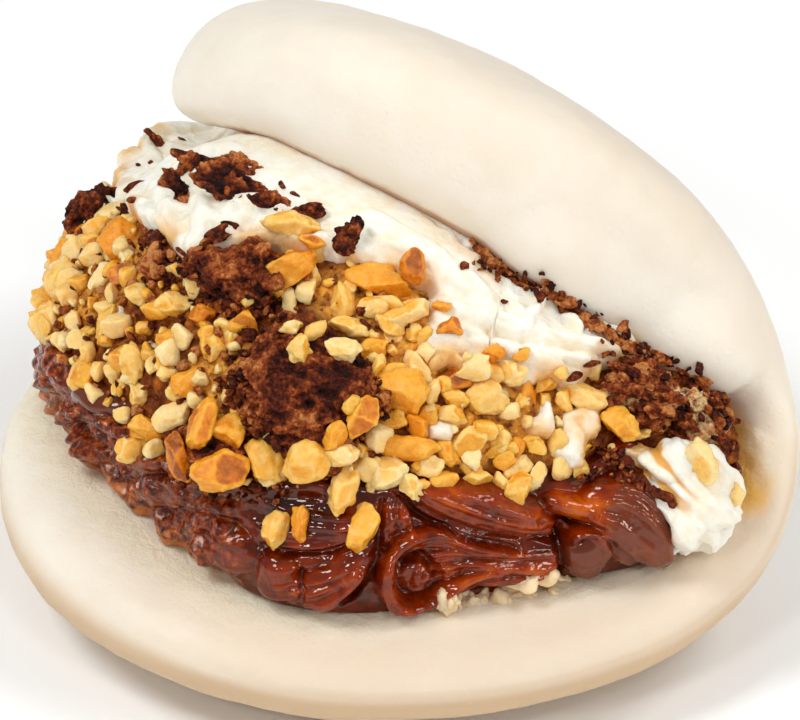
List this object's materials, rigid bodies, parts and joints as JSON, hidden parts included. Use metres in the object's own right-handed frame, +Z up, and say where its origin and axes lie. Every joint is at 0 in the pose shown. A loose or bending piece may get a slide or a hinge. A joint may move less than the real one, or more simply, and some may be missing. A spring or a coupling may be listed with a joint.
{
  "type": "chocolate hazelnut bao",
  "caption": "Folded steamed bun holding chocolate sauce, brownie crumb with chopped hazelnuts and whipped cream, resting on its lower flap.",
  "frame": {"origin": "middle of the footprint, on the flat spot that the bun rests on", "axes": "+X along the fold of the bun, +Y from the mouth towards the fold, +Z up"},
  "size_m": [0.0912, 0.0752, 0.0595],
  "materials": {
    "dough": "satin skin of steamed wheat dough",
    "sauce": "glossy chocolate hazelnut sauce",
    "crumb": "chopped roasted hazelnuts in brown crumb",
    "cream": "whipped cream",
    "brownie": "dry broken brownie"
  },
  "bodies": {
    "root": {"bun": "dough", "chocolate_sauce": "sauce", "crumb_filling": "crumb", "cream": "cream", "cream_lump": "cream", "brownie_left": "brownie", "brownie_upper": "brownie", "brownie_middle": "brownie", "brownie_lower": "brownie", "brownie_right": "brownie", "brownie_edge": "brownie", "brownie_strip": "brownie", "brownie_flake": "brownie", "brownie_sliver": "brownie"}
  },
  "joints": []
}
